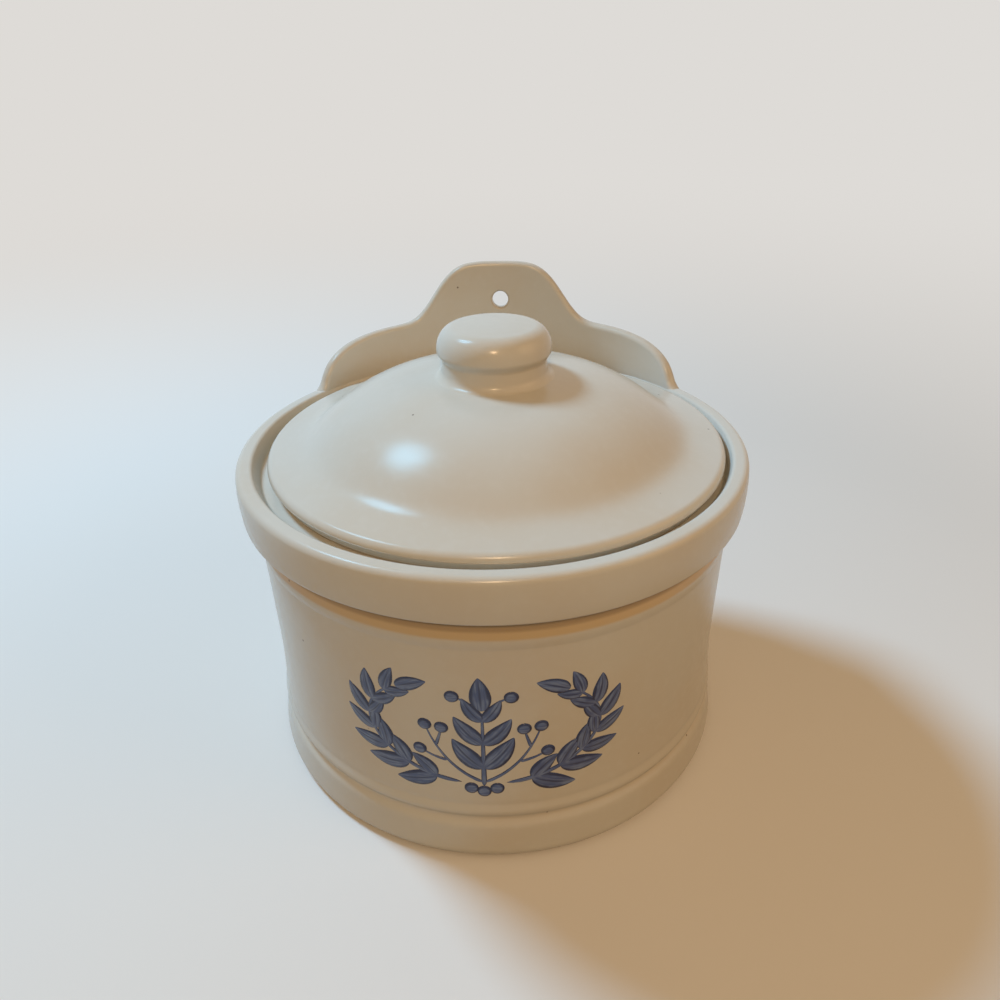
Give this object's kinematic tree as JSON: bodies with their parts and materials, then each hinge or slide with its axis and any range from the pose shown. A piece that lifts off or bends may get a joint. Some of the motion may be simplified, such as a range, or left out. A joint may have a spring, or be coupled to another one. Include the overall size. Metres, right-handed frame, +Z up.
{
  "type": "hanging salt box",
  "caption": "Round glazed stoneware salt box with a curved back plate for hanging on a wall nail and a loose domed lid with a knob that lifts off.",
  "frame": {"origin": "middle of the foot, on the plane that the box stands on", "axes": "+Z up, +Y to the back, where the plate and its hanging hole are, so the front faces -Y"},
  "size_m": [0.1494, 0.1494, 0.1314],
  "materials": {
    "cream_glaze": "satin",
    "cobalt_paint": "satin"
  },
  "bodies": {
    "crock": {"crock": "cream_glaze", "back_plate": "cream_glaze"},
    "lid": {"lid": "cream_glaze", "lid_knob": "cream_glaze"}
  },
  "joints": [
    {"name": "lid_lift", "type": "slide", "parent": "crock", "child": "lid", "axis": [0, 0, 1], "range_m": [0, 0.06]}
  ]
}
